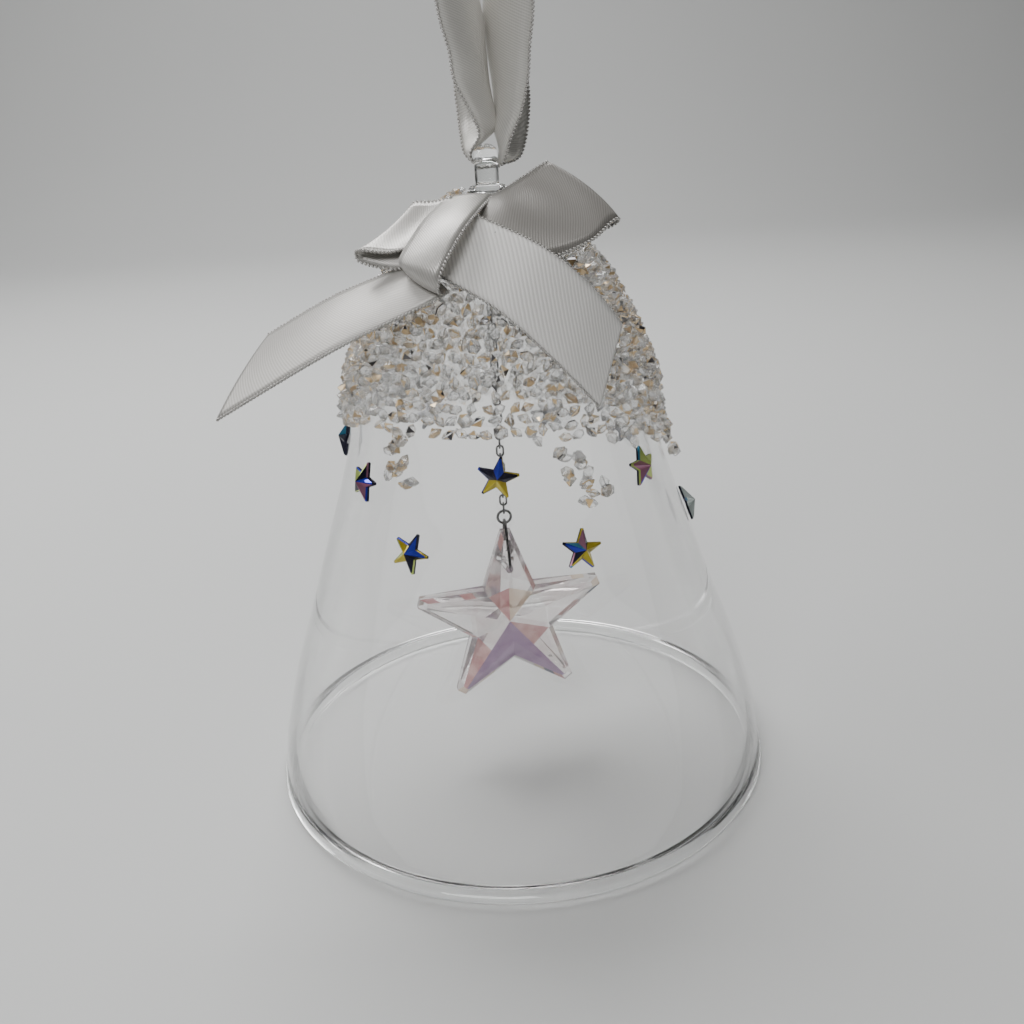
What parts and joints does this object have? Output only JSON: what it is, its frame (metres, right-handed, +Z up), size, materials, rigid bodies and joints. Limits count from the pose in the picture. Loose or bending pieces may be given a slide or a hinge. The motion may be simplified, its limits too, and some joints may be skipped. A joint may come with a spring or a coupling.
{
  "type": "glass bell",
  "caption": "Clear blown glass bell ornament with a crystal-covered dome, a satin bow and hanging loop, and a star clapper on a fine chain.",
  "frame": {"origin": "centre of the mouth, in the plane that the rim stands on", "axes": "+Z up along the bell's axis to the hanging loop, -Y the front that the bow's tails fall on, +X to the right"},
  "size_m": [0.076, 0.076, 0.1278],
  "materials": {
    "clear_glass": "clear, polished",
    "clear_adhesive": "clear, slightly cloudy",
    "clear_crystal": "facetted",
    "coated_crystal": "facetted, rainbow coated",
    "tinted_crystal": "facetted, pale rose and lilac coating",
    "dark_metal": "gunmetal plated",
    "satin_ribbon": "satin, pale grey"
  },
  "bodies": {
    "bell": {"glass_bell": "clear_glass", "crown_collar": "clear_glass", "hanging_eye": "clear_glass", "inner_hook": "clear_glass", "adhesive_bed": "clear_adhesive", "crown_crystals": "clear_crystal", "shoulder_crystals": "clear_crystal", "fringe_crystals": "clear_crystal", "skirt_stars": "coated_crystal", "bow_knot": "satin_ribbon", "bow_left_loop": "satin_ribbon", "bow_right_loop": "satin_ribbon", "bow_left_tail": "satin_ribbon", "bow_right_tail": "satin_ribbon"},
    "ribbon_loop": {"hanging_ribbon": "satin_ribbon"},
    "top_ring": {"top_ring": "dark_metal"},
    "upper_chain": {"upper_chain": "dark_metal"},
    "lower_chain": {"lower_chain": "dark_metal"},
    "jump_ring": {"jump_ring": "dark_metal"},
    "bail": {"pinch_bail": "dark_metal"},
    "star": {"star_clapper": "tinted_crystal"}
  },
  "joints": [
    {"name": "ribbon_swing", "type": "hinge", "parent": "bell", "child": "ribbon_loop", "pos_m": [0, 0, 0.0917], "axis": [0, 1, 0], "range_deg": [-12, 12]},
    {"name": "hook_swing", "type": "hinge", "parent": "bell", "child": "top_ring", "pos_m": [-0.0006, 0, 0.0805], "axis": [1, 0, 0], "range_deg": [-8, 8]},
    {"name": "chain_sway", "type": "hinge", "parent": "top_ring", "child": "upper_chain", "pos_m": [-0.0006, 0, 0.07899], "axis": [0, 1, 0], "range_deg": [-7, 7]},
    {"name": "chain_bend", "type": "hinge", "parent": "upper_chain", "child": "lower_chain", "pos_m": [-0.0006, 0, 0.06135], "axis": [1, 0, 0], "range_deg": [-7, 7]},
    {"name": "jump_ring_sway", "type": "hinge", "parent": "lower_chain", "child": "jump_ring", "pos_m": [-0.0006, 0, 0.04041], "axis": [0, 1, 0], "range_deg": [-8, 8]},
    {"name": "bail_swing", "type": "hinge", "parent": "jump_ring", "child": "bail", "pos_m": [-0.0006, 0, 0.0388], "axis": [0.9863, 0.165, 0], "range_deg": [-8, 8]},
    {"name": "star_turn", "type": "hinge", "parent": "bail", "child": "star", "pos_m": [-0.0006, 0, 0.0326], "axis": [-0.165, 0.9863, 0], "range_deg": [-10, 10]}
  ]
}
